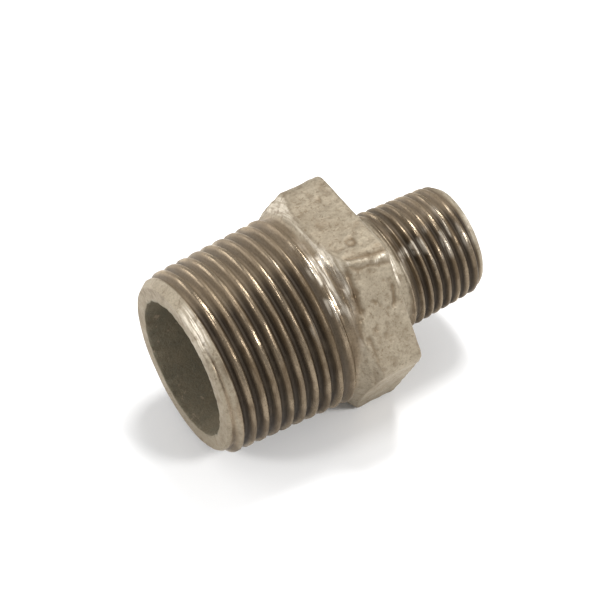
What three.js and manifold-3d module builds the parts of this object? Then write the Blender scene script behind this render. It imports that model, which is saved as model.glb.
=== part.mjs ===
// Reducing hexagon nipple: one iron casting with an external taper thread on each end, a hexagon for
// the wrench between them and a stepped bore right through.
//
// Millimetres. X runs along the bore, from the large end (-X) to the small end (+X). The origin is on
// the axis at mid-length. Two flats of the hexagon face +Z and -Z, and two of its corners +Y and -Y.

import * as THREE from "three";
import { mergeVertices } from "three/addons/utils/BufferGeometryUtils.js";
import Module from "manifold-3d";

const wasm = await Module();
wasm.setup();

// ---- Driving dimensions -----------------------------------------------------------------------

const LENGTH = 53.5;
const INCH = 25.4;
const TAPER = 1 / 32; // growth of the radius per millimetre of thread: 1 in 16 on the diameter

// A taper thread. gaugeDiameter is the diameter over the crests at gaugeLength from the end face.
// faceX is its end face, and inward is the way from there to the hexagon along X. runOutX is where
// its groove has faded away into the casting.
const LARGE_THREAD = {
  gaugeDiameter: 33.249,
  gaugeLength: 10.4,
  pitch: INCH / 11,
  depth: 1.479,
  faceX: -LENGTH / 2,
  inward: 1,
  runOutX: -2.4,
  columns: 40,
};
const SMALL_THREAD = {
  gaugeDiameter: 20.955,
  gaugeLength: 8.2,
  pitch: INCH / 14,
  depth: 1.162,
  faceX: LENGTH / 2,
  inward: -1,
  runOutX: 8.8,
  columns: 28,
};
const CHAMFER_DEPTH = 1.05; // of the chamfer at each end, as a share of the thread's depth
const CHAMFER_ANGLE = THREE.MathUtils.degToRad(36); // of the chamfer, from the axis
const RUN_OUT_PITCHES = 1.5; // length over which the groove fades, in pitches

const HEXAGON = {
  acrossFlats: 35.5,
  cornerRadius: 2.5,
  leftX: -2.4, // where its cone meets the large thread
  coneTopX: -0.2, // where its cone reaches the corners
  coneRise: 3, // of the cone's radius between the two
  rightX: 7.3,
};

const BORE = {
  largeRadius: 12.3,
  smallRadius: 7.75,
  coneStartX: -1.5,
  coneEndX: 5.5,
};

// ---- Working values ---------------------------------------------------------------------------

const FULL_TURN = 2 * Math.PI;
const OVERRUN = 4; // how far a body runs past the face that trims it
const CORNER_SEGMENTS = 4;
const MERGE_DISTANCE = 1e-4;

const hexCornerReach =
  (HEXAGON.acrossFlats / 2 - HEXAGON.cornerRadius) / Math.cos(Math.PI / 6) + HEXAGON.cornerRadius;

// One pitch of the thread, as [place along the pitch, depth as a share of the full depth].
const THREAD_FORM = [
  [0, 0],
  [0.16, 0],
  [0.5, 1],
  [0.66, 1],
];

// ---- Solids -----------------------------------------------------------------------------------

// Closed geometry as a manifold solid. Triangles that collapsed at a pole are left out.
function toSolid(geometry) {
  const bare = geometry.clone();
  bare.deleteAttribute("normal");
  bare.deleteAttribute("uv");
  const merged = mergeVertices(bare, MERGE_DISTANCE);
  const corners = merged.index.array;
  const kept = [];
  for (let i = 0; i < corners.length; i += 3) {
    const [a, b, c] = corners.slice(i, i + 3);
    if (a !== b && b !== c && c !== a) {
      kept.push(a, b, c);
    }
  }
  const mesh = new wasm.Mesh({
    numProp: 3,
    vertProperties: new Float32Array(merged.attributes.position.array),
    triVerts: new Uint32Array(kept),
  });
  return new wasm.Manifold(mesh);
}

function toGeometry(solid) {
  const mesh = solid.getMesh();
  const geometry = new THREE.BufferGeometry();
  geometry.setAttribute("position", new THREE.BufferAttribute(mesh.vertProperties, 3));
  geometry.setIndex(new THREE.BufferAttribute(mesh.triVerts, 1));
  geometry.computeVertexNormals();
  return geometry;
}

// Solid of revolution about X from [x, radius] points that start and end on the axis, with x rising.
function turned(profile, segments) {
  const points = profile.map(([x, radius]) => new THREE.Vector2(radius, x));
  const geometry = new THREE.LatheGeometry(points, segments);
  geometry.rotateZ(-Math.PI / 2);
  return toSolid(geometry);
}

// ---- Threads ----------------------------------------------------------------------------------

// Radius over the crests of a taper thread at x.
function crestRadius(thread, x) {
  const gaugeX = thread.faceX + thread.inward * thread.gaugeLength;
  return thread.gaugeDiameter / 2 + thread.inward * TAPER * (x - gaugeX);
}

// How deep the groove is at x: all its depth along the thread, and nothing at the run-out.
function grooveShare(thread, x) {
  const left = thread.inward * (thread.runOutX - x);
  return THREE.MathUtils.clamp(left / (RUN_OUT_PITCHES * thread.pitch), 0, 1);
}

// The threaded length as one closed body. Its skin is a single helical strip: row i, column j is at
// angle 2 pi j / columns, and lies j / columns of a pitch further along X, so the last column of a
// row meets the first column of the row one pitch on. X and the angle grow together, which makes the
// thread right-handed. Each end is closed by a fan to the axis.
function threadedLength(thread, xFrom, xTo) {
  const { columns, pitch } = thread;
  const form = THREAD_FORM.length;
  const turns = Math.ceil((xTo - xFrom) / pitch) + 1;
  const rows = turns * form;
  const positions = [];
  for (let i = 0; i < rows + form; i += 1) {
    for (let j = 0; j < columns; j += 1) {
      const [along, share] = THREAD_FORM[i % form];
      const x = xFrom + pitch * (Math.floor(i / form) - 1 + along + j / columns);
      const radius = crestRadius(thread, x) - thread.depth * share * grooveShare(thread, x);
      const angle = (FULL_TURN * j) / columns;
      positions.push(x, radius * Math.cos(angle), radius * Math.sin(angle));
    }
  }
  const at = (i, j) => (j === columns ? (i + form) * columns : i * columns + j);
  const indices = [];
  for (let i = 0; i < rows - 1; i += 1) {
    for (let j = 0; j < columns; j += 1) {
      indices.push(at(i, j), at(i, j + 1), at(i + 1, j));
      indices.push(at(i + 1, j), at(i, j + 1), at(i + 1, j + 1));
    }
  }
  closeEnd(positions, indices, endLoop(0, thread, at), true);
  closeEnd(positions, indices, endLoop(rows - 1, thread, at), false);
  const geometry = new THREE.BufferGeometry();
  geometry.setAttribute("position", new THREE.Float32BufferAttribute(positions, 3));
  geometry.setIndex(indices);
  return toSolid(geometry);
}

// The open edge at row i: once round along the row, then back to its start along the first column.
function endLoop(i, thread, at) {
  const around = Array.from({ length: thread.columns }, (_, j) => at(i, j));
  const back = THREAD_FORM.map((_, k) => at(i + k + 1, 0)).reverse();
  return [...around, ...back];
}

// Closes a loop with a fan to a point on the axis.
function closeEnd(positions, indices, loop, facesLargeEnd) {
  const hub = positions.length / 3;
  const xs = loop.map((v) => positions[3 * v]);
  positions.push((Math.min(...xs) + Math.max(...xs)) / 2, 0, 0);
  loop.forEach((v, k) => {
    const next = loop[(k + 1) % loop.length];
    indices.push(...(facesLargeEnd ? [hub, next, v] : [hub, v, next]));
  });
}

// The blank that a thread is cut on: a flat end face, a chamfer and a plain barrel that stands clear
// of the crests.
function threadBlank(thread, xInner) {
  const faceRadius = crestRadius(thread, thread.faceX) - thread.depth * CHAMFER_DEPTH;
  const barrelRadius = crestRadius(thread, xInner) + OVERRUN;
  const chamferLength = (barrelRadius - faceRadius) / Math.tan(CHAMFER_ANGLE);
  const chamferEndX = thread.faceX + thread.inward * chamferLength;
  const profile = [
    [thread.faceX, 0],
    [thread.faceX, faceRadius],
    [chamferEndX, barrelRadius],
    [xInner, barrelRadius],
    [xInner, 0],
  ];
  return turned(thread.inward > 0 ? profile : profile.reverse(), thread.columns);
}

function threadedEnd(thread, xInner) {
  const low = Math.min(thread.faceX, xInner) - OVERRUN;
  const high = Math.max(thread.faceX, xInner) + OVERRUN;
  return threadedLength(thread, low, high).intersect(threadBlank(thread, xInner));
}

// ---- Hexagon ----------------------------------------------------------------------------------

// Outline of the hexagon, one arc at each corner and a straight flat between them.
function hexagonOutline() {
  const reach = hexCornerReach - HEXAGON.cornerRadius;
  const outline = new THREE.Shape();
  for (let k = 0; k < 6; k += 1) {
    const angle = Math.PI / 2 + (k * Math.PI) / 3;
    const x = reach * Math.cos(angle);
    const y = reach * Math.sin(angle);
    outline.absarc(x, y, HEXAGON.cornerRadius, angle - Math.PI / 6, angle + Math.PI / 6, false);
  }
  outline.closePath();
  return outline;
}

// The hexagon, with its corners coned down towards the large thread.
function hexagon() {
  const prism = new THREE.ExtrudeGeometry(hexagonOutline(), {
    depth: HEXAGON.rightX - HEXAGON.leftX,
    bevelEnabled: false,
    curveSegments: CORNER_SEGMENTS,
  });
  prism.rotateY(Math.PI / 2);
  prism.translate(HEXAGON.leftX, 0, 0);
  const slope = HEXAGON.coneRise / (HEXAGON.coneTopX - HEXAGON.leftX);
  const cone = [
    [HEXAGON.leftX - OVERRUN, 0],
    [HEXAGON.leftX - OVERRUN, hexCornerReach - HEXAGON.coneRise - slope * OVERRUN],
    [HEXAGON.coneTopX + OVERRUN, hexCornerReach + slope * OVERRUN],
    [HEXAGON.rightX + OVERRUN, hexCornerReach + slope * OVERRUN],
    [HEXAGON.rightX + OVERRUN, 0],
  ];
  return toSolid(prism).intersect(turned(cone, LARGE_THREAD.columns));
}

// ---- Bore -------------------------------------------------------------------------------------

// The hole right through: wide in the large end, coned under the hexagon, narrow in the small end.
function bore() {
  const profile = [
    [LARGE_THREAD.faceX - OVERRUN, 0],
    [LARGE_THREAD.faceX - OVERRUN, BORE.largeRadius],
    [BORE.coneStartX, BORE.largeRadius],
    [BORE.coneEndX, BORE.smallRadius],
    [SMALL_THREAD.faceX + OVERRUN, BORE.smallRadius],
    [SMALL_THREAD.faceX + OVERRUN, 0],
  ];
  return turned(profile, LARGE_THREAD.columns);
}

// ---- The part ---------------------------------------------------------------------------------

const galvanisedIron = new THREE.MeshStandardMaterial({
  color: 0x9a9080,
  roughness: 0.55,
  metalness: 0.7,
});

function nippleBody() {
  const midX = (HEXAGON.coneTopX + HEXAGON.rightX) / 2;
  const casting = threadedEnd(LARGE_THREAD, midX)
    .add(threadedEnd(SMALL_THREAD, midX))
    .add(hexagon())
    .subtract(bore());
  const mesh = new THREE.Mesh(toGeometry(casting), galvanisedIron);
  mesh.name = "nipple_body";
  return mesh;
}

const group = new THREE.Group();
group.add(nippleBody());

export default group;
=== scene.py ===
import math

import bpy
import numpy as np
from bpy.props import FloatProperty, FloatVectorProperty, IntProperty, PointerProperty
from mathutils import Matrix, Vector


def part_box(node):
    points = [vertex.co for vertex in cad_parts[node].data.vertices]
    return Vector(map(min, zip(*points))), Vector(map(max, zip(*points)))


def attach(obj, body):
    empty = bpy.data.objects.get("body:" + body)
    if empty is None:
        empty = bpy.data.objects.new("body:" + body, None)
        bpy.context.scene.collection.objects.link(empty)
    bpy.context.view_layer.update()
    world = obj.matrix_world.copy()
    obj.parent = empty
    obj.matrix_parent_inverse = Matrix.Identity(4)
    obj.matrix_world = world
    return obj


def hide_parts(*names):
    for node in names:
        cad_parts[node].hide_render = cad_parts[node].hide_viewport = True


bl_info = {
    "name": "Reducing hexagon nipple",
    "version": (1, 0, 0),
    "blender": (4, 5, 0),
    "location": "View3D > Sidebar > Nipple",
    "description": "A galvanised pipe nipple with cut taper threads, and a plain studio round it",
    "category": "Object",
}

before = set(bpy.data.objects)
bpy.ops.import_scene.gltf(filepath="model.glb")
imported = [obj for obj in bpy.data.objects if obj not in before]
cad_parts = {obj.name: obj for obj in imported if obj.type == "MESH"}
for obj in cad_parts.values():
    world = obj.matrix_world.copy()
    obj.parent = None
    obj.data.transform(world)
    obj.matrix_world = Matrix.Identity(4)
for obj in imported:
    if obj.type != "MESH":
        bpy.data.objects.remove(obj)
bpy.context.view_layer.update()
NODE = "nipple_body"
LOW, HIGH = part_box(NODE)

MM = 0.001
TURN = 2 * math.pi
INCH = 25.4 * MM
TAPER = 1 / 32  # growth of the radius for each unit of thread: 1 in 16 on the diameter


# ---- Sizes and colours that a user would change ------------------------------------------------


def length(name, description, default):
    """A length property, in metres."""
    return FloatProperty(
        name=name, description=description, default=default, min=0, unit="LENGTH", precision=5
    )


def place_along(name, description, default):
    """A place along X, in metres."""
    return FloatProperty(name=name, description=description, default=default, unit="LENGTH")


def angle_of(name, description, degrees):
    """An angle, given in degrees."""
    default = math.radians(degrees)
    return FloatProperty(name=name, description=description, default=default, subtype="ANGLE")


def share(name, description, default):
    """A property from 0 to 1."""
    return FloatProperty(
        name=name, description=description, default=default, min=0, max=1, subtype="FACTOR"
    )


def tint(name, description, default):
    """A linear colour property."""
    return FloatVectorProperty(
        name=name, description=description, default=default, min=0, max=1, subtype="COLOR"
    )


def thread_sizes(gauge_diameter, gauge_length, pitch, depth, run_out, wear):
    """The sizes of a taper thread, with these defaults."""
    wear_note = "Rubbed off the crests at the end face, and none at the run-out"
    return {
        "gauge_diameter": length(
            "Gauge diameter", "Over the crests at the gauge plane", gauge_diameter
        ),
        "gauge_length": length("Gauge length", "From the end face to the gauge plane", gauge_length),
        "pitch": length("Pitch", "From one crest to the next", pitch),
        "depth": length("Depth", "From crest to root", depth),
        "run_out": length("Run-out", "From the end face to where the groove has faded", run_out),
        "wear": length("Wear", wear_note, wear),
    }


class LargeThreadSizes(bpy.types.PropertyGroup):
    __annotations__ = thread_sizes(
        33.249 * MM, 10.4 * MM, INCH / 11, 1.479 * MM, run_out=25.4 * MM, wear=0.3 * MM
    )


class SmallThreadSizes(bpy.types.PropertyGroup):
    __annotations__ = thread_sizes(
        20.955 * MM, 8.2 * MM, INCH / 14, 1.162 * MM, run_out=16.4 * MM, wear=0.42 * MM
    )


class CastingSizes(bpy.types.PropertyGroup):
    across_flats: length("Across flats", "Hexagon, flat to flat", HIGH.z - LOW.z)
    corner_radius: length("Corner radius", "Rounding of the hexagon's corners", 2.5 * MM)
    shoulder_x: place_along("Shoulder", "Where the cone leaves the thread", -2.4 * MM)
    hexagon_left: place_along("Hexagon left", "Where the cone reaches the corners", -0.2 * MM)
    hexagon_right: length("Hexagon right", "The hexagon's flat side face", 7.3 * MM)
    cone_rise: length("Cone rise", "How far the cone climbs in radius", 3 * MM)
    edge_radius: length("Edge radius", "Rounding of the hexagon's right edge", 0.7 * MM)
    large_bore: length("Large bore", "Diameter", 24.2 * MM)
    small_bore: length("Small bore", "Diameter", 15.5 * MM)
    ridge_height: length("Ridge height", "Parting-line flash on the hexagon's corner", 0.46 * MM)
    lump_height: length("Lump height", "Unevenness of the cast and dipped skin", 0.2 * MM)
    columns: IntProperty(name="Columns", description="Points round the mesh", default=256, min=48)


class FinishColours(bpy.types.PropertyGroup):
    zinc: tint("Zinc", "The dipped skin", (0.305, 0.262, 0.195))
    zinc_dull: tint("Dull zinc", "Weathered patches of the skin", (0.18, 0.147, 0.102))
    # Dirt, and the painted shade in the creases and marks of the casting.
    dirt: tint("Dirt and shade", "Blots and creases of the skin", (0.125, 0.088, 0.052))
    cut: tint("Cut iron", "Flanks of the thread", (0.086, 0.059, 0.033))
    # Oil and dirt in the roots, and painted shade deep in the grooves.
    groove: tint("Groove", "Oil and dirt in the roots", (0.016, 0.0095, 0.0045))
    # Also the colour of the painted highlights on the ridge, the cone, the end face's edge, the
    # crests and the neck.
    shine: tint("Shine", "Scraped and rubbed zinc", (0.78, 0.71, 0.6))
    crest: tint("Crest", "Where the crest is rubbed bright", (0.33, 0.265, 0.19))
    # Dust, and the painted light on the upper side of the threads.
    dust: tint("Dust and top light", "On the upper side of the threads", (0.19, 0.145, 0.095))
    bore: tint("Bore", "The cored inside", (0.165, 0.15, 0.108))
    bore_dull: tint("Dull bore", "Patches of the inside", (0.24, 0.195, 0.13))
    zinc_roughness: share("Zinc roughness", "Of the dipped skin", 0.46)
    cut_roughness: share("Cut roughness", "Of the thread's flanks", 0.24)


class StageSettings(bpy.types.PropertyGroup):
    azimuth: angle_of("Azimuth", "Of the camera", -28.02)
    elevation: angle_of("Elevation", "Of the camera", 46.38)
    roll: angle_of("Roll", "Of the camera", -4.95)
    distance: length("Distance", "From the camera to its aim point", 451 * MM)
    lens: FloatProperty(
        name="Lens", description="Focal length", default=162.5, subtype="DISTANCE_CAMERA"
    )
    aim_x: place_along("Aim", "Of the camera, along the axis", -3.3 * MM)
    shift_x: FloatProperty(name="Shift right", description="Of the lens", default=-0.0060)
    shift_y: FloatProperty(name="Shift up", description="Of the lens", default=0.0160)
    surround: FloatProperty(name="Surround", description="Strength of the white room", default=0.58)


# ---- Numpy helpers -------------------------------------------------------------------------------

LATTICE = 32  # cells along each side of the noise lattice, before it repeats
LATTICE_SHIFT = 400  # cells from the lattice's own corner to the origin


def smooth_step(low, high, value):
    """0 at low, 1 at high and held beyond them, with a smooth S between. Low may be the greater."""
    t = np.clip((value - low) / (high - low), 0, 1)
    return t * t * (3 - 2 * t)


def bump(value, middle, width, power=2):
    """A bump of height 1: exp(-((value - middle) / width)^power). Power 4 gives it a flat top."""
    return np.exp(-(((value - middle) / width) ** power))


def smooth_min(a, b, width):
    """The lower of a and b, with the crossing rounded over width: their mix by h, less
    width h (1 - h), where h runs from 0 to 1 as b - a runs from -width to width."""
    h = np.clip(0.5 + 0.5 * (b - a) / width, 0, 1)
    return b * (1 - h) + a * h - width * h * (1 - h)


def smooth_max(a, b, width):
    """The higher of a and b, with the crossing rounded over width."""
    return -smooth_min(-a, -b, width)


def cloud(points, cell, seed):
    """Soft noise from -1 to 1: random numbers on a cubic lattice of that cell, blended between its
    eight nearest corners with smooth weights. It repeats after LATTICE cells."""
    table = np.random.default_rng(seed).uniform(-1, 1, (LATTICE, LATTICE, LATTICE))
    place = points / cell + LATTICE_SHIFT
    corner = np.floor(place).astype(int)
    t = place - corner
    t = t * t * (3 - 2 * t)
    total = 0
    for dx, dy, dz in np.ndindex(2, 2, 2):
        weight = np.prod(np.where((dx, dy, dz), t, 1 - t), axis=-1)
        index = (corner + (dx, dy, dz)) % LATTICE
        total = total + weight * table[index[..., 0], index[..., 1], index[..., 2]]
    return total


def around_axis(x, radius, angle):
    """Points from their place along X, their radius and their angle from +Y towards +Z."""
    x, radius, angle = np.broadcast_arrays(x, radius, angle)
    return np.stack([x, radius * np.cos(angle), radius * np.sin(angle)], axis=-1)


# ---- The shape of the nipple ---------------------------------------------------------------------

CREST_ARC = 0.1373  # radius of the rounded crests and roots, in pitches
FLANK_ANGLE = math.radians(27.5)
CHAMFER_DEPTH = 1.05  # of the end chamfer, in thread depths
CHAMFER_SLOPE = math.tan(math.radians(36))  # its rise, for each unit along the axis
CHAMFER_BLEND = 0.12 * MM  # width over which the chamfer's crossing is rounded
RUN_OUT_PITCHES = 2.6  # length over which the groove fades
ROOT_FILL = 0.1  # zinc and dirt left in the roots, in thread depths
WEAR_BLEND = 0.1  # width of the rounding at the edge of a rubbed crest, in thread depths
FILL_BLEND = 0.12  # and at the edge of a filled root
LARGE_START = -0.36  # where the end face lies along the large thread's pitch, at angle 0
SMALL_START = -0.42  # the same for the small thread
SHOULDER_BLEND = 0.5 * MM  # width of the rounding where the thread meets the cone
FLAT_BLEND = 0.35 * MM  # and where the cone meets the flats
SHOULDER_OVERRUN = 2 * MM  # how far the thread's rows run on past the shoulder
NECK_OVERRUN = 0.3 * MM  # and past the small thread's run-out
BORE_CONE = (-1.5 * MM, 5.5 * MM)  # where the bore's cone leaves the large bore and meets the small
BORE_LIP = 0.08 * MM  # size of the flare at each end of the bore
NECK_FILLET = 0.7 * MM
FINE_MIDDLE = 150  # degrees; the columns are closest together about here, on the scarred front
QUARTER = np.linspace(0, math.pi / 2, 6)[1:]  # angles of the rows round a rounded edge
CAST, CUT, FACE, BORE = range(4)  # the zones of the skin
MERGE_DISTANCE = 1e-4 * MM

# Places along one pitch of the mesh's rows, closest together on the crest and in the root.
FORM_ROWS = np.array([0, 0.05, 0.105, 0.24, 0.385, 0.445, 0.5, 0.555, 0.615, 0.76, 0.895, 0.95])


def whitworth_depth(phase, depth_in_pitches):
    """Depth below the crest, as a share of the full depth, against the place along one pitch. From
    the crest to the half-way point it is an arc of CREST_ARC and then a straight flank at 27.5
    degrees; from there to the root it is the same turned upside down."""
    across = np.abs((phase + 0.5) % 1 - 0.5)
    from_crest = np.minimum(across, 0.5 - across)
    arc_end = CREST_ARC * math.cos(FLANK_ANGLE)
    arc_drop = CREST_ARC * (1 - math.sin(FLANK_ANGLE))
    arc = CREST_ARC - np.sqrt(np.maximum(CREST_ARC**2 - from_crest**2, 0))
    flank = arc_drop + (from_crest - arc_end) / math.tan(FLANK_ANGLE)
    drop = np.where(from_crest < arc_end, arc, flank) / depth_in_pitches
    drop = np.minimum(drop, 0.5)
    return np.where(across > 0.25, 1 - drop, drop)


def worn(drop, wear):
    """The thread form with its crests rubbed down by wear and its roots part filled."""
    return smooth_min(smooth_max(drop, wear, WEAR_BLEND), 1 - ROOT_FILL, FILL_BLEND)


class Thread:
    """A taper thread's radius at any place along X and any angle. face_x is its end face, inward the
    way from there to the hexagon, and start its phase at the end face at angle 0."""

    def __init__(self, sizes, face_x, inward, start):
        self.pitch = sizes.pitch
        self.depth = sizes.depth
        self.face_x = face_x
        self.inward = inward
        self.start = start
        self.gauge_x = face_x + inward * sizes.gauge_length
        self.gauge_radius = sizes.gauge_diameter / 2
        self.run_out_x = face_x + inward * sizes.run_out
        self.wear = sizes.wear / sizes.depth

    def crest(self, x):
        """Radius over the crests: it grows by TAPER towards the hexagon."""
        return self.gauge_radius + self.inward * TAPER * (x - self.gauge_x)

    def phase(self, x, angle):
        """Place along the pitch, 0 on a crest. X and the angle grow together: right-handed."""
        return (x - self.face_x) / self.pitch - angle / TURN + self.start

    def root(self, x):
        """Radius at the bottom of the groove: the full depth down, and climbing to the crest over
        the run-out, where the die's lead cuts shallower."""
        left = self.inward * (self.run_out_x - x) / (RUN_OUT_PITCHES * self.pitch)
        return self.crest(x) - self.depth * np.clip(left, 0, 1)

    def face_radius(self):
        """Radius of the flat end face, inside the chamfer."""
        return self.crest(self.face_x) - CHAMFER_DEPTH * self.depth

    def radius(self, x, angle):
        """Thread form, no deeper than the root line, cut back by the cone of the end chamfer."""
        form = whitworth_depth(self.phase(x, angle), self.depth / self.pitch)
        inside = np.abs(x - self.face_x) / np.abs(self.run_out_x - self.face_x)
        drop = self.depth * worn(form, self.wear * (1 - np.clip(inside, 0, 1)))
        cut = np.maximum(self.crest(x) - drop, self.root(x))
        return smooth_min(cut, self.chamfer(x), CHAMFER_BLEND)

    def chamfer(self, x):
        """Radius of the end chamfer's cone."""
        return self.face_radius() + np.abs(x - self.face_x) * CHAMFER_SLOPE


def hexagon_radius(angle, sizes):
    """Radius of a hexagon with flats up and down: flat / cos(angle from the flat's middle) along a
    flat, and the far crossing with the corner's circle where that is nearer."""
    flat = sizes.across_flats / 2
    off = (angle + TURN / 12) % (TURN / 6) - TURN / 12  # from the nearest corner
    along_flat = flat / np.cos(TURN / 12 - np.abs(off))
    centre = (flat - sizes.corner_radius) / math.cos(TURN / 12)
    inside = np.maximum(sizes.corner_radius**2 - (centre * np.sin(off)) ** 2, 0)
    round_corner = centre * np.cos(off) + np.sqrt(inside)
    touch = math.atan2(
        sizes.corner_radius / 2, centre + sizes.corner_radius * math.cos(TURN / 12)
    )
    return np.where(np.abs(off) < touch, round_corner, along_flat)


def front_heavy_angles(columns):
    """Angles round the axis, closer together on the scarred front: steps are inversely as
    1 + 0.9 bump, where the bump is 45 degrees wide with a flat top."""
    fine = np.linspace(0, TURN, 4001)
    density = 1 + 0.9 * bump(np.degrees(fine), FINE_MIDDLE, 45, 4)
    share_before = np.concatenate([[0], np.cumsum((density[1:] + density[:-1]) / 2)])
    return np.interp(np.arange(columns) / columns, share_before / share_before[-1], fine)


class Skin:
    """Collects rows of points that run round the axis, from the bore's small end through the bore,
    over the outside and back, and joins each row to the next. All rows have the same columns."""

    def __init__(self, columns):
        self.columns = columns
        self.angle = front_heavy_angles(columns)
        self.rows = []
        self.joins = []
        self.count = 0

    def rings(self, x, radius, zone):
        """Plain rings. x and radius are one number a ring, or full grids."""
        x = np.asarray(x, float)
        x = x if x.ndim == 2 else x[:, None]
        radius = np.asarray(radius, float)
        radius = radius if radius.ndim == 2 else radius[:, None]
        x, radius = np.broadcast_arrays(x, radius)
        shape = (len(x), self.columns)
        self._add(np.broadcast_to(x, shape), np.broadcast_to(radius, shape), zone, 0)

    def helix(self, thread, low_x, high_x, radius_of, zone):
        """Rows that follow the thread: row i, column j lies angle / turn of a pitch past row i's
        place, and the last column of a row meets the first column of the row one pitch on. Places
        past either end are held at it, so both ends close in a plain ring."""
        form = len(FORM_ROWS)
        first = thread.phase(low_x, 0)
        begin = math.floor(first) - 1
        turns = math.ceil((high_x - low_x) / thread.pitch) + 3
        phases = begin + np.arange(turns)[:, None] + FORM_ROWS[None, :]
        places = low_x + (phases.ravel() - first) * thread.pitch
        x = places[:, None] + thread.pitch * self.angle[None, :] / TURN
        keep = (x.max(1) > low_x) & (x.min(1) < high_x)
        first_kept = np.argmax(keep)
        last_kept = len(keep) - np.argmax(keep[::-1]) - 1
        x = np.clip(x[max(first_kept - 1, 0) : last_kept + 2], low_x, high_x)
        self._add(x, radius_of(x, self.angle[None, :]), zone, form)

    def _add(self, x, radius, zone, step):
        """A block of rows. The last column of a row meets the first column of the row that is step
        further on, or of the block's last row where that comes sooner."""
        rows = len(x)
        self.rows.append((x, radius, np.full(x.shape, zone)))
        index = self.count + np.arange(rows)
        wrapped = np.minimum(index + step, self.count + rows - 1)
        self.joins.append((index, wrapped))
        self.count += rows

    def grids(self):
        """X, radius and zone of every row, one below the other."""
        return [np.concatenate(parts) for parts in zip(*self.rows)]

    def triangles(self):
        """Two for each cell between a row and the next, with the last row joining the first."""
        row = np.concatenate([index for index, _ in self.joins])
        wrapped = np.concatenate([wrap for _, wrap in self.joins])
        column = np.arange(self.columns)
        here = row[:, None] * self.columns + column[None, :]
        right = np.concatenate([here[:, 1:], (wrapped * self.columns)[:, None]], axis=1)
        up, up_right = np.roll(here, -1, axis=0), np.roll(right, -1, axis=0)
        first = np.stack([here, right, up_right], axis=-1)
        second = np.stack([here, up_right, up], axis=-1)
        return np.concatenate([first.reshape(-1, 3), second.reshape(-1, 3)])


def closed_mesh(name, points, triangles, values):
    """Merges points at the same place, drops the triangles that this flattens, and makes the mesh.
    values maps an attribute's name to one number a point."""
    key = np.round(points / MERGE_DISTANCE).astype(np.int64)
    _, first, inverse = np.unique(key, axis=0, return_index=True, return_inverse=True)
    order = np.argsort(first)
    rank = np.empty_like(order)
    rank[order] = np.arange(len(order))
    triangles = rank[inverse.ravel()][triangles]
    points = points[first[order]]
    a, b, c = triangles.T
    triangles = triangles[(a != b) & (b != c) & (c != a)]
    mesh = bpy.data.meshes.new(name)
    mesh.vertices.add(len(points))
    mesh.vertices.foreach_set("co", points.astype(np.float32).ravel())
    mesh.loops.add(triangles.size)
    mesh.loops.foreach_set("vertex_index", triangles.astype(np.int32).ravel())
    mesh.polygons.add(len(triangles))
    mesh.polygons.foreach_set("loop_start", np.arange(0, triangles.size, 3, dtype=np.int32))
    mesh.update(calc_edges=True)
    mesh.validate()
    for attribute, numbers in values.items():
        layer = mesh.attributes.new(attribute, "FLOAT", "POINT")
        layer.data.foreach_set("value", numbers[first[order]].astype(np.float32))
    mesh.polygons.foreach_set("use_smooth", np.ones(len(mesh.polygons), bool))
    return mesh


def nipple_surface(scene):
    """The whole nipple as one closed surface, with the numbers that its finish reads."""
    sizes = scene.nipple_casting
    large = Thread(scene.nipple_large, LOW.x, 1, LARGE_START)
    small = Thread(scene.nipple_small, HIGH.x, -1, SMALL_START)
    skin = Skin(sizes.columns)
    reach = hexagon_radius(skin.angle, sizes).max()
    slope = sizes.cone_rise / (sizes.hexagon_left - sizes.shoulder_x)

    def left_side(x, angle):
        """The greater of the large thread and the shoulder's cone, and no greater than the hexagon,
        with both crossings rounded."""
        cone = reach - (sizes.hexagon_left - x) * slope
        body = smooth_max(large.radius(x, angle), cone, SHOULDER_BLEND)
        return smooth_min(body, hexagon_radius(angle, sizes), FLAT_BLEND)

    add_bore(skin, sizes)
    shoulder_end = sizes.shoulder_x + SHOULDER_OVERRUN
    face = np.linspace(sizes.large_bore / 2 + BORE_LIP, large.face_radius(), 8)[1:-1]
    skin.rings(np.full(len(face), LOW.x), face, FACE)
    skin.helix(large, LOW.x, shoulder_end, left_side, CUT)
    add_hexagon(skin, sizes, shoulder_end, left_side)
    add_small_end(skin, sizes, small)

    spots = Spots(skin, sizes, large, small)
    radius, values = weathered(spots, sizes)
    points = around_axis(spots.x, radius, spots.angle).reshape(-1, 3)
    values = {name: numbers.ravel() for name, numbers in values.items()}
    return closed_mesh("nipple", points, skin.triangles(), values)


def add_bore(skin, sizes):
    """Rings from the small end to the large one: the small bore, a straight cone, the large bore, and
    a flare at each end that opens by BORE_LIP over its last BORE_LIP."""
    cone_left, cone_right = BORE_CONE
    inset = BORE_LIP * np.array([0, 0.3, 1])
    flare = BORE_LIP * np.array([1, 0.3, 0])
    x = np.concatenate([
        HIGH.x - inset,
        np.linspace(HIGH.x - 1.5 * MM, cone_right + 1 * MM, 6),
        np.linspace(cone_right, cone_left, 5),
        np.linspace(cone_left - 1 * MM, LOW.x + 0.6 * MM, 14),
        LOW.x + inset[::-1],
    ])
    radius = np.interp(x, BORE_CONE, [sizes.large_bore / 2, sizes.small_bore / 2])
    radius[:3] += flare
    radius[-3:] += flare[::-1]
    skin.rings(x, radius, BORE)


def add_hexagon(skin, sizes, shoulder_end, left_side):
    """Rings over the shoulder and the flats, then a quarter circle of edge_radius at the right."""
    angle = skin.angle[None, :]
    x = np.linspace(shoulder_end, sizes.hexagon_right - sizes.edge_radius, 38)[1:]
    skin.rings(x, left_side(x[:, None], angle), CAST)
    edge_x = sizes.hexagon_right - sizes.edge_radius * (1 - np.sin(QUARTER))
    skin.rings(edge_x, edge_rings(skin, sizes), CAST)


def edge_rings(skin, sizes):
    """Radius of each ring of the hexagon's right edge: the hexagon's less edge_radius (1 - cos)."""
    hexagon = hexagon_radius(skin.angle[None, :], sizes)
    return hexagon - sizes.edge_radius * (1 - np.cos(QUARTER))[:, None]


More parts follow.
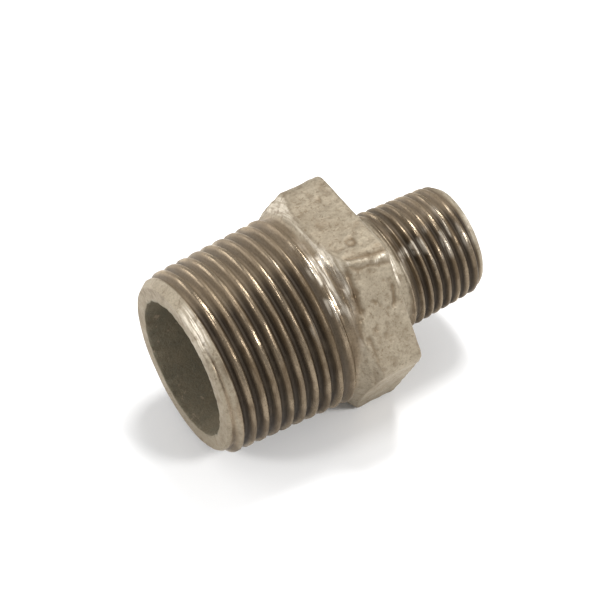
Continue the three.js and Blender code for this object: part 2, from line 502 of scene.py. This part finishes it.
def add_small_end(skin, sizes, small):
    """The hexagon's side face, a quarter circle down to the neck, the neck, the small thread and the
    small end face."""
    side = sizes.hexagon_right
    blend = np.linspace(0, 1, 10)[1:, None]
    inner = small.crest(side) + NECK_FILLET
    face = edge_rings(skin, sizes)[-1:] * (1 - blend) + inner * blend
    skin.rings(np.full(len(face), side), face, CAST)
    fillet_x = side + NECK_FILLET * (1 - np.cos(QUARTER))
    skin.rings(fillet_x, small.crest(fillet_x) + NECK_FILLET * (1 - np.sin(QUARTER)), CAST)
    neck_end = small.run_out_x - NECK_OVERRUN
    neck_x = np.linspace(fillet_x[-1], neck_end, 7)[1:]
    skin.rings(neck_x, small.crest(neck_x), CAST)
    skin.helix(small, neck_end, HIGH.x, small.radius, CUT)
    face = np.linspace(small.face_radius(), sizes.small_bore / 2 + BORE_LIP, 6)[1:-1]
    skin.rings(np.full(len(face), HIGH.x), face, FACE)


# ---- Wear, and the marks of casting --------------------------------------------------------------

HEXAGON_SKIN = 18.5 * MM  # radius that turns an angle on the hexagon into a distance over its skin
NEAR_CORNER = 120.0  # degrees; the corner that the parting line runs over
PARTING_DRIFT = math.radians(4.5) / (7.5 * MM)  # its turn along X: 4.5 degrees over the hexagon
SCRAPED_SIDE = 136  # degrees; the middle of the side that was scraped along the shoulder
TOP_LIGHT_SIDE = 72  # degrees; the middle of the upper side that is painted lighter, where the top light falls
RING_PIT = (2.9 * MM, 110, 0.85 * MM)  # its place along X, its degrees round and its radius
DENT_X, DENT_DEGREES = 5.8, 143.4  # the dent's middle: millimetres along X, and degrees round
DENT_SLANT = 0.098  # millimetres along X for each degree round

# What each mark on the hexagon takes off the skin, and how dark it is painted: painted shade in its
# hollow.
MARKS = {
    "crease": (0.28 * MM, 1.0),
    "under": (0.14 * MM, 0.8),
    "ring": (0.16 * MM, 0.8),
    "dent": (0.3 * MM, 1.0),
    "last_cut": (0.4 * MM, 1.0),
    "pits": (0.12 * MM, 0.45),
    "nicks": (0.12 * MM, 0.7),
    "low_crease": (0.2 * MM, 0.7),
}


class Spots:
    """The points of the bare surface, and where each lies on its thread: below is how far it is
    under the blank, and full_cut how deep the die cuts there, both in thread depths. scraped is 1
    about SCRAPED_SIDE and 0 away from it."""

    def __init__(self, skin, sizes, large, small):
        self.x, self.radius, self.zone = skin.grids()
        x = self.x
        self.angle = np.broadcast_to(skin.angle[None, :], x.shape)
        self.degrees = np.degrees(self.angle)
        self.points = around_axis(x, self.radius, self.angle)
        self.on_large = x < (sizes.shoulder_x + sizes.hexagon_right) / 2
        self.threaded = self.zone == CUT
        outside = self.zone != BORE
        self.on_casting = (x > sizes.shoulder_x) & (x < sizes.hexagon_right) & outside
        self.past_face = np.minimum(x - LOW.x, HIGH.x - x)
        self.phase = self.by_end(large.phase(x, self.angle), small.phase(x, self.angle))
        crest = self.by_end(large.crest(x), small.crest(x))
        blank = np.minimum(crest, self.by_end(large.chamfer(x), small.chamfer(x)))
        depth = self.by_end(large.depth, small.depth)
        self.below = np.clip((blank - self.radius) / depth, 0, 1)
        self.full_cut = (crest - self.by_end(large.root(x), small.root(x))) / depth
        self.patch = self.cloud(2.5, 3)
        self.scraped = bump(self.degrees, SCRAPED_SIDE, 24, 4)

    def by_end(self, large, small):
        """The first on the large end's side of the hexagon, and the second on the small end's."""
        return np.where(self.on_large, large, small)

    def cloud(self, millimetres, seed, stretch=(1, 1, 1)):
        """Soft noise on a lattice of that cell."""
        return cloud(self.points * stretch, millimetres * MM, seed)

    def round_mark(self, at_x, at_degrees, radius):
        """Distance over the hexagon's skin from a place on it, in units of radius."""
        turned = (self.angle - math.radians(at_degrees) + math.pi) % TURN - math.pi
        return np.hypot(self.x - at_x, HEXAGON_SKIN * turned) / radius


def hexagon_marks(spots, sizes):
    """How strongly the parting line's ridge shows, and each of MARKS by name: bumps across a line or
    round a place, the creases above and below the ridge, a ring-shaped pit, a dent along the side,
    the last deep cut beside the front flat, and seeded pits and nicks."""
    x, degrees = spots.x, spots.degrees
    drift = PARTING_DRIFT * (x - sizes.hexagon_left)
    wander = 0.02 * spots.cloud(1.5, 42)
    off_ridge = HEXAGON_SKIN * (spots.angle - math.radians(NEAR_CORNER) - drift + wander)
    along = smooth_step(-0.4 * MM, 0.5 * MM, x) * smooth_step(7.4 * MM, 6.6 * MM, x)
    ridge = bump(off_ridge, 0, 0.36 * MM) * along * (0.7 + 0.5 * spots.cloud(0.9, 41))
    dent_x = (DENT_X - DENT_SLANT * (degrees - DENT_DEGREES)) * MM
    cut_ends = smooth_step(120, 124, degrees) * smooth_step(152, 140, degrees)
    nicks = 0
    rng = np.random.default_rng(52)
    for at_x, at_degrees, size in rng.uniform((-0.5, 40, 0.25), (7, 230, 0.6), (26, 3)):
        nick = bump(spots.round_mark(at_x * MM, at_degrees, size * MM), 0, 1)
        nicks = np.maximum(nicks, nick)
    marks = {
        "crease": bump(off_ridge, -0.8 * MM, 0.3 * MM) * along,
        "under": bump(off_ridge, 0.85 * MM, 0.3 * MM) * along,
        "ring": bump(spots.round_mark(*RING_PIT), 0.8, 0.35),
        "dent": bump(x, dent_x, 0.35 * MM) * bump(degrees, DENT_DEGREES, 5.5, 4),
        "last_cut": bump(x, -0.5 * MM, 0.5 * MM) * cut_ends,
        "pits": smooth_step(0.35, 0.75, spots.cloud(1.0, 51)),
        "nicks": nicks,
        "low_crease": bump(x, -0.5 * MM, 0.3 * MM) * bump(degrees, 165.5, 8, 4),
    }
    return ridge, marks


def cut_share(spots, sizes):
    """How much of the surface is bare cut metal: all of it where the groove is deep enough, past the
    zinc left by the end face, the shoulder and the front of the neck."""
    reached = spots.full_cut + 0.1 * spots.patch + spots.scraped * spots.on_large
    face_zinc = spots.by_end(0.6 * MM, 0) - 0.6 * MM * spots.patch
    past_face = smooth_step(0.7 * MM, 2.0 * MM, spots.past_face - face_zinc)
    sunk = smooth_step(0.06, 0.2, spots.below)
    sunk = sunk * smooth_step(0.1 * MM, 0.5 * MM, spots.past_face)
    past_shoulder = sizes.shoulder_x - spots.x + 2.2 * MM * spots.scraped
    past_neck = spots.x - 11.6 * MM * bump(spots.degrees, 142, 30, 4)
    past_casting = spots.by_end(past_shoulder, past_neck) + 0.5 * MM * spots.patch
    cut = spots.threaded * smooth_step(0.1, 0.35, reached) * np.maximum(past_face, sunk)
    return cut * smooth_step(-0.2 * MM, 0.9 * MM, past_casting)


def dust_and_top_light_share(spots):
    """Painted top light and dust: lighter about the upper side, by the cosine of the angle from its
    middle and soft noise, as painted light where the top light falls, and dust in the shallow grooves
    by the shoulder."""
    # Painted light: the upper side made lighter, where the top light falls on it.
    facing = np.cos(spots.angle - math.radians(TOP_LIGHT_SIDE)) + 0.07 * spots.cloud(5, 4)
    upper = smooth_step(0.74, 0.95, facing)
    upper = upper * spots.by_end(1, smooth_step(9 * MM, 19 * MM, spots.x))
    shoulder = 0.45 * spots.on_large * smooth_step(-8 * MM, -3.5 * MM, spots.x)
    return np.maximum(upper, shoulder)


def relief(spots, sizes, cut):
    """What stands over the bare surface: lumps of the cast skin, the rough bore, its ragged rim, the
    wobble of the cut threads, and the die's fine marks where the groove fades out, which are the
    thread form at half the pitch."""
    x, zone = spots.x, spots.zone
    lumps = spots.cloud(3.2, 11) + 0.45 * spots.cloud(1.3, 12)
    cast = (zone == CAST) | (spots.threaded & (cut < 0.5))
    cast = cast * sizes.lump_height * (0.6 * lumps - 0.5)
    wall = spots.cloud(4, 21) + 0.6 * spots.cloud(1.4, 22)
    bore = (zone == BORE) * 0.1 * MM * wall
    rim = bump(spots.radius, sizes.large_bore / 2, 0.5 * MM) * np.exp(-(x - LOW.x) / (0.5 * MM))
    rim = rim * ((zone == FACE) | (zone == BORE))
    rim = rim * (0.2 * MM * spots.cloud(0.65, 23) + 0.1 * MM * spots.cloud(2.2, 24))
    wobble = spots.cloud(2.6, 31) + 0.7 * spots.cloud(1.1, 32)
    wobble = spots.threaded * cut * (0.04 * wobble - 0.05) * MM
    fading = 0.055 * MM * smooth_step(1.0, 0.75, spots.full_cut) * (spots.full_cut > 0)
    by_shoulder = smooth_step(-3.6 * MM, -2.2 * MM, x) * spots.on_large
    fading = fading + 0.12 * MM * spots.scraped * by_shoulder
    die_marks = whitworth_depth(spots.phase * 2, 0.64) * spots.threaded * fading
    return cast + bore + rim + wobble - die_marks


def dirt_and_shade_share(spots, sizes, marks):
    """Dirt and painted shade: painted shade in the hollows of the casting's marks and in the crease
    along the edge of its cone, and on the end faces an even dirt with freckles on their upper part.
    """
    # Painted shade in the hollow of each mark, as dark as MARKS gives it.
    dirt = sum(dark * marks[name] for name, (_, dark) in MARKS.items())
    # Painted shade in the crease where the cone meets the flats, less on the scraped side.
    short_of_flat = hexagon_radius(spots.angle, sizes) - spots.radius
    edge = bump(short_of_flat, 0.12 * MM, 0.1 * MM) * (spots.x < 1.5 * MM)
    dirt = dirt + 0.5 * edge * (1 - spots.scraped)
    freckles = smooth_step(0.0, 0.6, spots.cloud(0.7, 81))
    freckles = freckles * smooth_step(-0.4, 0.6, np.sin(spots.angle))
    on_face = 0.62 * (0.15 + freckles) * (spots.zone == FACE)
    return np.where(spots.on_casting, np.clip(dirt, 0, 1), on_face)


def scrape_and_highlight_share(spots, sizes, ridge, groove):
    """Scraped zinc and painted highlights: a painted highlight along the parting line's ridge, on the
    upper side of the cone and on the edge of the large end face, scrapes beside the shoulder painted
    bright, streaks of painted highlight on the crests beside the shoulder and on the small thread,
    and a painted highlight on the front of the neck."""
    x, degrees = spots.x, spots.degrees
    short_of_flat = hexagon_radius(spots.angle, sizes) - spots.radius
    # Painted highlight on the upper side of the cone.
    cone = smooth_step(0.1 * MM, 0.45 * MM, short_of_flat)
    cone = cone * smooth_step(-2.6 * MM, -2.0 * MM, x) * (x < sizes.hexagon_right - 1 * MM)
    cone = cone * (1 - spots.scraped) * smooth_step(0.1, 0.6, np.sin(spots.angle))
    # Scraped zinc beside the shoulder, painted bright as a highlight.
    scrape = bump(x, -1.5 * MM, 0.5 * MM) * bump(degrees, 124, 17, 4)
    scrape = scrape * (0.6 + 0.6 * spots.cloud(1.2, 61))
    # Painted highlight along the parting line's ridge.
    on_ridge = 1.7 * ridge * smooth_step(-0.45, 0.25, spots.cloud(0.8, 43))
    casting = (on_ridge + 0.5 * cone + scrape) * spots.on_casting
    # Painted highlight on the edge of the large end face.
    face_edge = bump(degrees, 112, 16, 4) * bump(x, LOW.x + 0.8 * MM, 0.8 * MM, 4)
    face_edge = face_edge * (0.7 + 0.6 * spots.patch) * (1 - groove)
    # Streaks of painted highlight on the crests beside the shoulder and on the small thread.
    by_shoulder = smooth_step(-12 * MM, -5 * MM, x) * smooth_step(-1.6 * MM, -2.6 * MM, x)
    by_shoulder = by_shoulder * bump(degrees, 122, 24, 4)
    on_small = 0.8 * smooth_step(11 * MM, 13 * MM, x) * bump(degrees, 120, 24, 4)
    streaks = smooth_step(0.05, 0.5, spots.cloud(1.1, 71, (1, 0.38, 0.38)))
    streaks = streaks * smooth_step(0.75, 0.25, groove) * (by_shoulder + on_small)
    # Painted highlight on the front of the neck.
    neck = 1.1 * bump(x, 9.4 * MM, 1.5 * MM, 4) * bump(degrees, 130, 15, 4)
    return np.clip(casting + face_edge + streaks + neck, 0, 1)


def box_radius(angle):
    """Distance from the axis to the sides of the part's own box, which nothing may pass."""
    to_side = HIGH.y / np.maximum(np.abs(np.cos(angle)), 1e-9)
    to_top = HIGH.z / np.maximum(np.abs(np.sin(angle)), 1e-9)
    return np.minimum(to_side, to_top)


def weathered(spots, sizes):
    """The radius with the relief of a real casting, and what the finish reads: how much of each point
    is cut metal, how deep it lies in a groove, and how much is dust and painted top light, bore, dirt
    and painted shade, and scraped zinc and painted highlight."""
    cut = cut_share(spots, sizes)
    groove = spots.threaded * smooth_step(0.12, 1 - ROOT_FILL, spots.below)
    ridge, marks = hexagon_marks(spots, sizes)
    height = sizes.ridge_height * ridge
    height = height - sum(depth * marks[name] for name, (depth, _) in MARKS.items())
    radius = spots.radius + relief(spots, sizes, cut) + height * spots.on_casting
    values = {
        "cut": cut,
        "groove": groove,
        "dust": dust_and_top_light_share(spots),
        "bore": (spots.zone == BORE) * 1.0,
        "dirt": dirt_and_shade_share(spots, sizes, marks),
        "bright": scrape_and_highlight_share(spots, sizes, ridge, groove),
    }
    return np.minimum(radius, box_radius(spots.angle)), values


# ---- Shader expressions --------------------------------------------------------------------------


class Value:
    """A number in a shader. Python's operators add the Math nodes."""

    def __init__(self, shader, socket):
        self.shader = shader
        self.socket = socket

    def _math(self, operation, first, second):
        node = self.shader.add("ShaderNodeMath", {"operation": operation}, {0: first, 1: second})
        return Value(self.shader, node.outputs[0])

    def __add__(self, other):
        return self._math("ADD", self, other)

    def __sub__(self, other):
        return self._math("SUBTRACT", self, other)

    def __rsub__(self, other):
        return self._math("SUBTRACT", other, self)

    def __mul__(self, other):
        return self._math("MULTIPLY", self, other)

    __radd__ = __add__
    __rmul__ = __mul__


class Shader:
    """A material's node tree, built by expressions."""

    def __init__(self, name):
        self.material = bpy.data.materials.new(name)
        self.material.use_nodes = True
        self.tree = self.material.node_tree
        self.tree.nodes.clear()

    def add(self, kind, settings=None, sockets=None):
        """A node of that kind: its settings first, then the values or links of its sockets."""
        node = self.tree.nodes.new(kind)
        for name, value in (settings or {}).items():
            if name == "stops":
                self._stops(node.color_ramp, value)
            else:
                setattr(node, name, value)
        for name, value in (sockets or {}).items():
            if isinstance(value, Value):
                self.tree.links.new(value.socket, node.inputs[name])
            else:
                node.inputs[name].default_value = value
        return node

    def _stops(self, ramp, stops):
        """Sets a ramp's stops, adding those that it lacks."""
        while len(ramp.elements) < len(stops):
            ramp.elements.new(0.5)
        for element, (position, level) in zip(ramp.elements, stops):
            element.position = position
            element.color = (level, level, level, 1)

    def value(self, node, output=0):
        """A node's output, to build on."""
        return Value(self, node.outputs[output])

    def attribute(self, name):
        """One of the numbers that the mesh holds at each point."""
        node = self.add("ShaderNodeAttribute", {"attribute_name": name})
        return self.value(node, "Fac")

    def place(self, scale=(1, 1, 1)):
        """Object coordinates, stretched by scale."""
        coordinates = self.add("ShaderNodeTexCoord")
        mapping = self.add(
            "ShaderNodeMapping",
            {"vector_type": "POINT"},
            {"Vector": self.value(coordinates, "Object"), "Scale": scale},
        )
        return self.value(mapping)

    def noise(self, place, scale, detail=4.0, roughness=0.55):
        """Noise from 0 to 1, with scale cells a metre."""
        node = self.add(
            "ShaderNodeTexNoise",
            {},
            {"Vector": place, "Scale": scale, "Detail": detail, "Roughness": roughness},
        )
        return self.value(node, "Fac")

    def ramp(self, value, *stops):
        """Level against value, straight from each stop to the next. A stop is (value, level)."""
        node = self.add("ShaderNodeValToRGB", {"stops": stops}, {"Fac": value})
        return self.value(node)

    def mix(self, factor, first, second):
        """Colour mix: first where the factor is 0, second where it is 1. The node's sockets for
        colours are inputs 6 and 7 and output 2."""
        node = self.add(
            "ShaderNodeMix", {"data_type": "RGBA"}, {0: factor, 6: first, 7: second}
        )
        return self.value(node, 2)


def opaque(colour):
    """A colour as a shader socket takes it."""
    return (*colour, 1)


class Patterns:
    """The noises and masks that the finish is mixed from. Place is in Object coordinates; the
    stretched places draw a noise out round the axis, along the thread."""

    def __init__(self, shader):
        place = shader.place()
        long_place = shader.place((1, 0.5, 0.5))
        longer_place = shader.place((1, 0.35, 0.35))
        streak_place = shader.place((1, 0.06, 0.06))
        noise, ramp = shader.noise, shader.ramp
        self.patches = ramp(noise(place, 320, 5), (0.35, 0), (0.68, 1))
        self.flecks = ramp(noise(place, 2300, 4, 0.75), (0.44, 0), (0.62, 1))
        self.blots = ramp(noise(place, 700, 4, 0.6), (0.54, 0), (0.66, 1))
        self.pocks = ramp(noise(place, 1500, 3, 0.6), (0.58, 0), (0.66, 1))
        self.specks = ramp(noise(place, 800, 2, 0.5), (0.66, 0), (0.72, 1))
        self.scratches = ramp(noise(streak_place, 3400, 3, 0.6), (0.42, 0.15), (0.58, 1))
        self.streaks = noise(streak_place, 5200, 3)
        self.grit = noise(place, 2600, 3, 0.7)
        self.grain = noise(place, 1100, 6, 0.7)
        self.wear = noise(long_place, 460, 5, 0.65)
        self.groove = shader.attribute("groove")
        # Darker deep in the groove, with noise: oil and painted shade.
        self.dark = ramp(self.groove + self.wear * 0.5 - 0.25, (0.12, 0), (0.7, 1))
        shine = noise(longer_place, 380, 2, 0.5) + self.streaks * 0.16
        self.burnish = ramp(shine, (0.54, 0), (0.66, 1)) * (1 - self.dark)


def zinc_colour(shader, patterns, colours):
    """Warm grey zinc with dull patches and flecks, blots and small dark pocks."""
    dull = patterns.patches * 0.45 + patterns.flecks * 0.5
    zinc = shader.mix(dull, opaque(colours.zinc), opaque(colours.zinc_dull))
    zinc = shader.mix(patterns.blots * 0.42, zinc, opaque(colours.dirt))
    return shader.mix(patterns.pocks * 0.6, zinc, opaque(colours.dirt))


def iron_colour(shader, patterns, colours):
    """Cut iron that darkens into the groove with oil and painted shade, with rubbed crests, dust and
    painted top light, shiny streaks and grit.
    """
    rubbed = patterns.groove + patterns.streaks * 0.3 + patterns.wear * 0.8 - 0.5
    rubbed = shader.ramp(rubbed, (0.0, 1), (0.12, 0))
    # Dust, and painted light on the upper side of the threads.
    dust = shader.attribute("dust") * (0.85 - patterns.dark * 0.25)
    dust = dust + shader.ramp(patterns.wear, (0.5, 0), (0.7, 0.15))
    grit = shader.ramp(patterns.grit, (0.5, 0), (0.75, 0.5))
    # Oil and painted shade, darker into the groove.
    iron = shader.mix(patterns.dark, opaque(colours.cut), opaque(colours.groove))
    iron = shader.mix(rubbed * 0.25, iron, opaque(colours.crest))
    iron = shader.mix(dust, iron, opaque(colours.dust))
    iron = shader.mix(patterns.burnish * 0.38, iron, opaque(colours.crest))
    return shader.mix(grit, iron, opaque(colours.groove))


def bore_colour(shader, patterns, colours):
    """The dark cored wall, with dull patches, flecks of dirt and a few bright specks."""
    wall = shader.mix(patterns.patches * 0.5, opaque(colours.bore), opaque(colours.bore_dull))
    wall = shader.mix(patterns.flecks * 0.4, wall, opaque(colours.dirt))
    return shader.mix(patterns.specks * 0.8, wall, opaque(colours.crest))


def nipple_finish(colours):
    """Matt mottled zinc on the cast skin, dark oily cut iron in the threads with painted shade in the
    grooves, painted light on their upper side and dull rubbed crests, scraped zinc and painted
    highlights, dirt and painted shade in the casting's marks, and a dark rough bore."""
    shader = Shader("galvanised_iron")
    patterns = Patterns(shader)
    cut, bore, dirt = (shader.attribute(name) for name in ("cut", "bore", "dirt"))
    blots, wear, dark, burnish = patterns.blots, patterns.wear, patterns.dark, patterns.burnish
    bright = shader.attribute("bright") * patterns.scratches * (1 - blots * 0.7)

    zinc = zinc_colour(shader, patterns, colours)
    colour = shader.mix(cut, zinc, iron_colour(shader, patterns, colours))
    # Scraped zinc and painted highlights.
    colour = shader.mix(bright, colour, opaque(colours.shine))
    # Dirt, and painted shade in the casting's marks.
    colour = shader.mix(dirt * 0.9, colour, opaque(colours.dirt))
    colour = shader.mix(bore, colour, bore_colour(shader, patterns, colours))

    zinc_rough = colours.zinc_roughness + patterns.patches * 0.14 - patterns.flecks * 0.08
    cut_rough = colours.cut_roughness + wear * 0.34 + dark * 0.2 - burnish * 0.16
    rough = zinc_rough * (1 - cut) + cut_rough * cut - bright * 0.14
    metal = (1 - cut) * 0.42 + cut * (0.5 - dark * 0.4 + burnish * 0.3)

    cast_grain = patterns.grain * 1.6 - blots * 0.3
    cut_grain = patterns.streaks * 0.5 + wear * 0.6 + patterns.grit * 0.25
    height = cast_grain * (1 - cut) + cut_grain * cut
    relief_node = shader.add(
        "ShaderNodeBump", {}, {"Strength": 0.6, "Distance": 0.14 * MM, "Height": height}
    )
    surface = shader.add(
        "ShaderNodeBsdfPrincipled",
        {},
        {
            "Base Color": colour,
            "Metallic": metal * (1 - bore) + bore * 0.15,
            "Roughness": rough * (1 - bore) + bore * 0.62,
            "Normal": shader.value(relief_node),
            "Specular IOR Level": 0.4,
            "Specular Tint": opaque((1, 0.9, 0.76)),
        },
    )
    shader.add("ShaderNodeOutputMaterial", {}, {"Surface": shader.value(surface)})
    return shader.material


# ---- Operators -----------------------------------------------------------------------------------


class NIPPLE_OT_make_body(bpy.types.Operator):
    """Makes the nipple: one casting with its threads, hexagon and bore"""

    bl_idname = "nipple.make_body"
    bl_label = "Nipple"

    def execute(self, context):
        scene = context.scene
        piece = bpy.data.objects.new("reducing_nipple", nipple_surface(scene))
        scene.collection.objects.link(piece)
        piece.data.materials.append(nipple_finish(scene.nipple_finish))
        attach(piece, "root")
        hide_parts(NODE)
        return {"FINISHED"}


def camera_axes(azimuth, elevation, roll):
    """Right, up and backward axes of a camera at that azimuth and elevation from its aim point,
    rolled about its line of sight. Back is away from the nipple."""
    back = Vector((
        math.sin(azimuth) * math.cos(elevation),
        -math.cos(azimuth) * math.cos(elevation),
        math.sin(elevation),
    ))
    right = Vector((0, 0, 1)).cross(back).normalized()
    up = back.cross(right)
    turned_right = right * math.cos(roll) + up * math.sin(roll)
    turned_up = up * math.cos(roll) - right * math.sin(roll)
    return turned_right, turned_up, back


# The soft lights, by name: the way to each from the nipple, its width and height, and its watts.
LIGHT_DISTANCE = 0.9
LIGHTS = {
    "top_softbox": ((0.32, 0.20, 0.93), (0.3, 0.2), 6.6),
    "front_softbox": ((0.32, -0.70, 0.63), (0.16, 0.16), 4.4),
    "left_softbox": ((-0.75, 0.0, 0.65), (0.16, 0.16), 2.4),
    "back_softbox": ((-0.55, 0.8, 0.25), (0.6, 0.35), 2.6),
}
HALF_FLOOR = 1.5
CLIP_START = 0.01
SENSOR_WIDTH = 36  # millimetres, as the lens is


class NIPPLE_OT_make_stage(bpy.types.Operator):
    """Makes the pale floor, the soft lights and the camera"""

    bl_idname = "nipple.make_stage"
    bl_label = "Stage"

    def execute(self, context):
        settings = context.scene.nipple_stage
        self.floor(context.scene)
        self.lights(context.scene, settings)
        self.camera(context.scene, settings)
        return {"FINISHED"}

    def floor(self, scene):
        """A pale matt square, level with the nipple's lowest point."""
        ways = ((-1, -1), (1, -1), (1, 1), (-1, 1))
        corners = [(x * HALF_FLOOR, y * HALF_FLOOR, LOW.z) for x, y in ways]
        mesh = bpy.data.meshes.new("floor")
        mesh.from_pydata(corners, [], [(0, 1, 2, 3)])
        shader = Shader("pale_floor")
        surface = shader.add(
            "ShaderNodeBsdfPrincipled",
            {},
            {"Base Color": (0.9, 0.9, 0.9, 1), "Roughness": 0.9, "Specular IOR Level": 0.1},
        )
        shader.add("ShaderNodeOutputMaterial", {}, {"Surface": shader.value(surface)})
        mesh.materials.append(shader.material)
        floor = bpy.data.objects.new("floor", mesh)
        scene.collection.objects.link(floor)

    def lights(self, scene, settings):
        """A white room, and LIGHTS in it."""
        world = bpy.data.worlds.new("studio")
        world.use_nodes = True
        background = world.node_tree.nodes["Background"]
        background.inputs["Color"].default_value = (1, 1, 1, 1)
        background.inputs["Strength"].default_value = settings.surround
        scene.world = world
        for name, (way, size, power) in LIGHTS.items():
            soft_light(scene, name, Vector(way).normalized(), size, power)
        scene.view_settings.view_transform = "Standard"

    def camera(self, scene, settings):
        """A camera at its distance from the aim point, on the axes of camera_axes."""
        data = bpy.data.cameras.new("camera")
        data.lens = settings.lens
        data.sensor_width = SENSOR_WIDTH
        data.shift_x = settings.shift_x
        data.shift_y = settings.shift_y
        data.clip_start = CLIP_START
        right, up, back = camera_axes(settings.azimuth, settings.elevation, settings.roll)
        place = Vector((settings.aim_x, 0, 0)) + back * settings.distance
        camera = bpy.data.objects.new("camera", data)
        turn = Matrix((right, up, back)).transposed().to_4x4()
        camera.matrix_world = Matrix.Translation(place) @ turn
        scene.collection.objects.link(camera)
        scene.camera = camera


def soft_light(scene, name, way, size, power):
    """A rectangular soft light at LIGHT_DISTANCE that looks back at the nipple."""
    data = bpy.data.lights.new(name, "AREA")
    data.shape = "RECTANGLE"
    data.size, data.size_y = size
    data.energy = power
    lamp = bpy.data.objects.new(name, data)
    turn = way.to_track_quat("Z", "Y").to_matrix().to_4x4()
    lamp.matrix_world = Matrix.Translation(way * LIGHT_DISTANCE) @ turn
    scene.collection.objects.link(lamp)


class NIPPLE_PT_panel(bpy.types.Panel):
    """Lists the makers and their settings"""

    bl_label = "Reducing nipple"
    bl_idname = "NIPPLE_PT_panel"
    bl_space_type = "VIEW_3D"
    bl_region_type = "UI"
    bl_category = "Nipple"

    def draw(self, context):
        layout = self.layout
        for name in GROUPS:
            settings = getattr(context.scene, name)
            for field in settings.bl_rna.properties:
                if field.identifier not in ("rna_type", "name"):
                    layout.prop(settings, field.identifier)
        for operator in OPERATORS:
            layout.operator(operator.bl_idname)


OPERATORS = (NIPPLE_OT_make_body, NIPPLE_OT_make_stage)
GROUPS = {
    "nipple_large": LargeThreadSizes,
    "nipple_small": SmallThreadSizes,
    "nipple_casting": CastingSizes,
    "nipple_finish": FinishColours,
    "nipple_stage": StageSettings,
}


def register():
    for cls in (*GROUPS.values(), *OPERATORS, NIPPLE_PT_panel):
        bpy.utils.register_class(cls)
    for name, cls in GROUPS.items():
        setattr(bpy.types.Scene, name, PointerProperty(type=cls))


def unregister():
    for name in GROUPS:
        delattr(bpy.types.Scene, name)
    for cls in reversed((*GROUPS.values(), *OPERATORS, NIPPLE_PT_panel)):
        bpy.utils.unregister_class(cls)


def main():
    register()
    bpy.ops.nipple.make_body()
    bpy.ops.nipple.make_stage()


if __name__ == "__main__":
    main()
